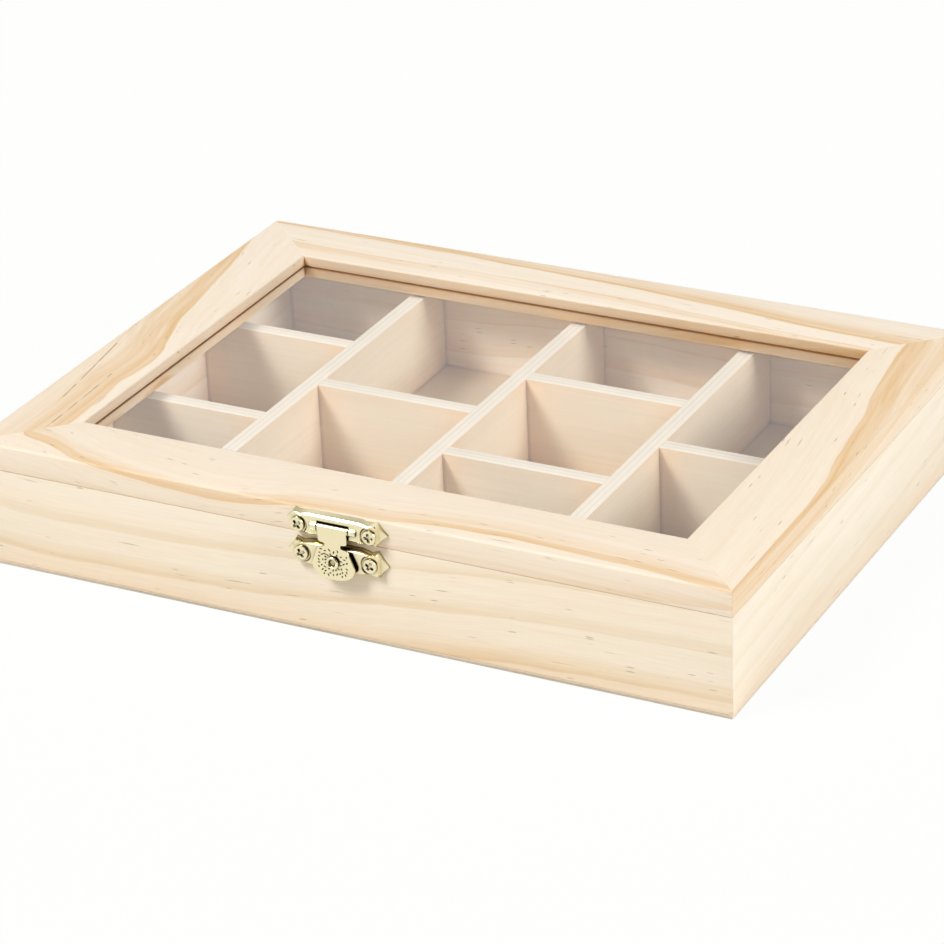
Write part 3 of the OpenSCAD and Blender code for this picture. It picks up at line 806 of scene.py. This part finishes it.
# The pin's height and its middle off the wood; the rolled barrel and the knuckles beside it
PIN_Z = 41.5
PIN_OUT = 3.0
PIN_HOLE = 0.65
BARREL_R = 1.4
LEAF_BARREL = 11.4
KNUCKLE = 2.5
KNUCKLE_PLAY = 0.2
KNOB_Z = PIN_Z - 11.5
WINDOW = 2.15
# The latch is drawn flat, its outer side up, and then stood against the front of the box
STAND = (
    Matrix.Scale(MM, 4)
    @ Matrix.Translation((LATCH_X, -BOX_D / 2, 0))
    @ Matrix.Rotation(math.pi / 2, 4, "X")
)


def rough_object(bm):
    """A plain object for a boolean."""
    return new_object("part", bm, [])


def joined(obj, other, operation):
    """Adds another closed form to obj or cuts it away; the other one is used up."""
    step = obj.modifiers.new("join", "BOOLEAN")
    step.object = other
    step.operation = operation
    step.solver = "EXACT"
    bpy.context.view_layer.update()
    mesh = bpy.data.meshes.new_from_object(obj.evaluated_get(bpy.context.evaluated_depsgraph_get()))
    obj.modifiers.clear()
    obj.data = mesh
    bpy.data.objects.remove(other)
    return obj


def plate_outline(halves, inset=0.0):
    """Points of the plate's outline: a dip beside each corner, slightly hollow sides to the tip.
    Halves are how far it reaches above and below."""
    half_w, half_h = PLATE
    quarter = [
        (half_w - 6.0, half_h),
        (half_w - 2.7, half_h - 0.75),
        (half_w, half_h),
        (half_w + TIP * 0.45, half_h * 0.47),
    ]
    right_side = quarter + [(half_w + TIP, 0)] + [(x, -y) for x, y in reversed(quarter)]
    loop = right_side + [(-x, -y) for x, y in right_side]
    above, below = (half / half_h - inset / half_h for half in halves)
    return [(x * (1 - inset / half_w), y * (above if y > 0 else below)) for x, y in loop]


def prism(points, low, high):
    """A closed upright form over an outline."""
    bm = bmesh.new()
    face = bm.faces.new([bm.verts.new((x, y, low)) for x, y in points])
    grown = bmesh.ops.extrude_face_region(bm, geom=[face])["geom"]
    risen = [v for v in grown if isinstance(v, bmesh.types.BMVert)]
    bmesh.ops.translate(bm, verts=risen, vec=(0, 0, high - low))
    bmesh.ops.recalc_face_normals(bm, faces=bm.faces)
    return bm


def pressed_form(edge, halves):
    """The outside of a plate as a closed form."""
    bm = prism(plate_outline(halves), 0, edge[0][1])
    top = max(bm.faces, key=lambda f: f.calc_center_median().z)
    for inset, rise in edge[1:]:
        bmesh.ops.inset_region(
            bm, faces=[top], thickness=inset, depth=rise, use_even_offset=True, use_boundary=True
        )
    return bm


def spun(profile, steps=40):
    """A turned form from (radius, height) points, closed on its axis."""
    bm = bmesh.new()
    verts = [bm.verts.new((r, 0, z)) for r, z in profile]
    edges = [bm.edges.new(pair) for pair in zip(verts, verts[1:])]
    bmesh.ops.spin(
        bm, geom=verts + edges, cent=(0, 0, 0), axis=(0, 0, 1), angle=math.tau, steps=steps,
        use_merge=True,
    )
    bmesh.ops.remove_doubles(bm, verts=bm.verts, dist=0.0001)
    bmesh.ops.recalc_face_normals(bm, faces=bm.faces)
    return bm


def moved(bm, place=(0, 0, 0), turn=0.0, axis="Z"):
    """Turns a form about an axis through the origin and then moves it."""
    bmesh.ops.transform(
        bm, verts=bm.verts, matrix=Matrix.Translation(place) @ Matrix.Rotation(turn, 4, axis)
    )
    return bm


def rod(radius, length, ease):
    """A rod along the front with eased ends, around the hasp pin."""
    end = length / 2
    profile = [
        (0, -end), (radius - ease, -end), (radius, -end + ease),
        (radius, end - ease), (radius - ease, end), (0, end),
    ]
    return moved(spun(profile, 32), (0, PIN_Z, PIN_OUT), math.pi / 2, "Y")


def pressed_plate(edge, halves, middle, screws, seat, ear_r):
    """A plate with its hollow back, lower ears, sloping tips and screw holes, standing around
    height middle."""
    gap, screw_z = screws
    half_w = PLATE[0]
    rise = sum(step[1] for step in edge)
    wall = sum(step[0] for step in edge[:3]) + 0.3
    body = rough_object(moved(pressed_form(edge, halves), (0, middle, 0)))
    room = [
        (max(-half_w, min(half_w, x)), y)
        for x, y in plate_outline(halves, wall)
        if abs(x) < half_w + 0.5
    ]
    hollow = rough_object(moved(prism(room, -1, seat - SHEET), (0, middle, 0)))
    joined(body, hollow, "DIFFERENCE")
    for side in (-1, 1):
        x = side * gap
        # The foot lies a trace under the ear, so that the next cut meets it cleanly
        foot = seat - 0.03
        ear_top = ear_r + EAR_SLOPE
        step = spun([(0, foot), (ear_r, foot), (ear_top, rise + 0.1), (ear_top, 5), (0, 5)])
        joined(body, rough_object(moved(step, (x, screw_z, 0))), "DIFFERENCE")
        # The ear ends in a steep step, and from there the tip falls away to near the wood
        tip_end = half_w + TIP + 0.5
        profile = [
            (gap, seat), (half_w + 0.1, seat), (half_w + 0.8, seat - TIP_STEP), (tip_end, TIP_LOW),
            (tip_end, 6), (gap, 6),
        ]
        end = prism([(side * px, pz) for px, pz in profile], -9, 9)
        joined(body, rough_object(moved(end, (0, middle, 0), math.pi / 2, "X")), "DIFFERENCE")
        hole = spun([(0, -1), (SCREW_HOLE, -1), (SCREW_HOLE, 5), (0, 5)])
        joined(body, rough_object(moved(hole, (x, screw_z, 0))), "DIFFERENCE")
    return body


def stand_up(obj, name, material, body, node):
    """Stands a finished latch piece against the box and fixes it to its body."""
    bm = bmesh.new()
    bm.from_mesh(obj.data)
    bmesh.ops.remove_doubles(bm, verts=bm.verts, dist=0.001)
    bmesh.ops.dissolve_degenerate(bm, edges=bm.edges, dist=0.001)
    bmesh.ops.transform(bm, verts=bm.verts, matrix=STAND)
    bm.to_mesh(obj.data)
    bm.free()
    obj.name = name
    obj.data.name = name
    obj.data.materials.clear()
    obj.data.materials.append(material)
    shade(obj, 30)
    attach(obj, body)
    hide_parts(node)


hasp = pressed_plate(HASP_EDGE, HASP_HALVES, HASP_MID, HASP_SCREWS, HASP_SEAT, HASP_EAR)
for side in (-1, 1):
    knuckle = rod(BARREL_R, KNUCKLE, 0.3)
    beside = side * (LEAF_BARREL + KNUCKLE + 2 * KNUCKLE_PLAY) / 2
    bmesh.ops.translate(knuckle, verts=knuckle.verts, vec=(beside, 0, 0))
    joined(hasp, rough_object(knuckle), "UNION")
window = bmesh.new()
window_half = LEAF_BARREL / 2 + KNUCKLE_PLAY + 0.02
block(window, (-window_half, PIN_Z - WINDOW, -1), (window_half, PIN_Z + WINDOW, 6))
joined(hasp, rough_object(window), "DIFFERENCE")
pin_length = LEAF_BARREL + 2 * (KNUCKLE_PLAY + KNUCKLE)
joined(hasp, rough_object(rod(PIN_HOLE, pin_length + 0.1, 0.1)), "DIFFERENCE")
stand_up(hasp, "pressed_hasp_plate", brass_sheet, "lid", "hasp_plate")

catch = pressed_plate(CATCH_EDGE, CATCH_HALVES, CATCH_MID, CATCH_SCREWS, CATCH_SEAT, CATCH_EAR)
stud = spun([(0, 2.3), (1.8, 2.3), (1.8, 3.25), (1.6, 3.42), (1.2, 3.5), (0, 3.5)])
joined(catch, rough_object(moved(stud, (0, KNOB_Z, 0))), "UNION")
stand_up(catch, "pressed_catch_plate", brass_sheet, "base", "catch_plate")

# ---------- Latch screws ----------
# Four small brass-plated wood screws with flat round heads and a pressed cross, turned by hand
# each to its own angle.

# Radius and height: the shank from its point, the head above the plate
SHANK = [(0, -8), (0.5, -7.6), (1.1, -6.6)]
HEAD = [
    (1.1, 0), (2.35, 0), (2.5, 0.12), (2.5, 0.55), (2.38, 0.78), (2.1, 0.92), (1.7, 1.0), (0, 1.0),
]
CROSS = [(-1.6, -0.55), (1.6, -0.55), (1.85, 0), (1.6, 0.55), (-1.6, 0.55), (-1.85, 0)]
# The cross: its floor and its open top above the plate
CROSS_LEVELS = (0.4, 1.1)


def screw_pair(name, screws, seat, turns, body, node):
    """Two screws in one object, each cross turned by its own angle in degrees."""
    gap, z = screws
    low, high = (seat + level for level in CROSS_LEVELS)
    both = None
    for x, turn in zip((-gap, gap), turns):
        one = rough_object(spun(SHANK + [(r, seat + h) for r, h in HEAD]))
        for arm in (0, math.pi / 2):
            cross = prism(CROSS, low, high)
            narrow = [v for v in cross.verts if v.co.z < seat + 0.6]
            bmesh.ops.scale(cross, verts=narrow, vec=(0.7, 0.8, 1))
            joined(one, rough_object(moved(cross, turn=arm)), "DIFFERENCE")
        turned = Matrix.Rotation(math.radians(turn), 4, "Z")
        one.data.transform(Matrix.Translation((x, z, 0)) @ turned)
        both = one if both is None else joined(both, one, "UNION")
    stand_up(both, name, brass_screw, body, node)


screw_pair("hasp_plate_screws", HASP_SCREWS, HASP_SEAT, (38, 4), "lid", "hasp_screws")
screw_pair("catch_plate_screws", CATCH_SCREWS, CATCH_SEAT, (30, 62), "base", "catch_screws")

# ---------- Hasp leaf and pin ----------
# A stamped leaf rolled round its pin: a broad tab, a neck and a shield with chased dents
# around a pressed knob. It turns in the knuckles of the upper plate.

LEAF_FRONT = PIN_OUT + BARREL_R
LEAF_BACK = LEAF_FRONT - SHEET
pin = rough_object(rod(0.6, pin_length, 0.15))
stand_up(pin, "hasp_rod", brass_pin, "lid", "hasp_pin")

# One side of the leaf, from the pin down to its lower tip
half_leaf = [
    (5.3, 0), (5.3, -3.9), (5.1, -4.5), (4.5, -4.8), (3.4, -4.9), (2.98, -5.15), (2.9, -5.7),
    (3.05, -6.1), (3.6, -6.35), (4.9, -6.5), (5.45, -6.8), (5.95, -7.9), (6.7, -9.9), (7.45, -11.9),
    (7.88, -13.1), (7.8, -14.1), (7.25, -15.3), (6.2, -16.4), (4.75, -17.3), (2.95, -17.88),
    (1.2, -18.08), (0, -18.1),
]
leaf_points = half_leaf + [(-x, y) for x, y in reversed(half_leaf[:-1])]
bm = prism([(x, y + PIN_Z) for x, y in leaf_points], LEAF_BACK, LEAF_FRONT)
rim = [e for e in bm.edges if all(v.co.z > LEAF_FRONT - 0.01 for v in e.verts)]
bmesh.ops.bevel(bm, geom=rim, offset=0.16, affect="EDGES", segments=3, profile=0.5, material=-1)
leaf = rough_object(bm)
# The barrel is a trace thicker than the leaf's face, so that the two don't lie in one plane
joined(leaf, rough_object(rod(BARREL_R + 0.015, LEAF_BARREL, 0.25)), "UNION")
joined(leaf, rough_object(rod(PIN_HOLE, 30, 0.1)), "DIFFERENCE")
# The knob: radius and height above the leaf's face, from its back to its hollow top
KNOB = [
    (0, -0.5), (1.6, -0.5), (1.6, 0.28), (1.9, 0.36), (2.2, 0.45), (2.25, 0.7), (2.1, 0.93),
    (1.85, 1.07), (1.55, 1.07), (1.3, 0.85), (1.15, 0.4), (0.9, 0.12), (0.4, 0.05), (0, 0.04),
]
knob = spun([(r, LEAF_FRONT + h) for r, h in KNOB])
joined(leaf, rough_object(moved(knob, (0, KNOB_Z, 0))), "UNION")
# Chased strokes in five rings around the knob, as radius and number. They keep clear of each
# other and of the shield's edge.
DENT_RINGS = [(3.0, 16), (3.75, 20), (4.5, 24), (5.2, 27), (5.8, 28)]
DENT_SPACING = 0.95
DENTS_UP_TO = 4.3
DENTS_DOWN_TO = -5.0
dice = random.Random(7)
dents = bmesh.new()
spots = []
for ring, count in DENT_RINGS:
    for i in range(count):
        turn = math.tau * (i + dice.uniform(-0.3, 0.3)) / count + ring
        r = ring + dice.uniform(-0.2, 0.2)
        x, y = r * math.cos(turn), r * math.sin(turn)
        crowded = any(math.dist((x, y), spot) < DENT_SPACING for spot in spots)
        if y > DENTS_UP_TO or y < DENTS_DOWN_TO or crowded:
            continue
        spots.append((x, y))
        made = bmesh.ops.create_icosphere(dents, subdivisions=2, radius=1)["verts"]
        dent = (
            Matrix.Translation((x, KNOB_Z + y, LEAF_FRONT + 0.04))
            @ Matrix.Rotation(turn + dice.uniform(-1.1, 1.1), 4, "Z")
            @ Matrix.Diagonal((dice.uniform(0.4, 0.65), dice.uniform(0.22, 0.3), 0.42, 1))
        )
        bmesh.ops.transform(dents, verts=made, matrix=dent)
joined(leaf, rough_object(dents), "DIFFERENCE")
stand_up(leaf, "hasp_leaf_shield", brass_sheet, "hasp", "hasp_leaf")
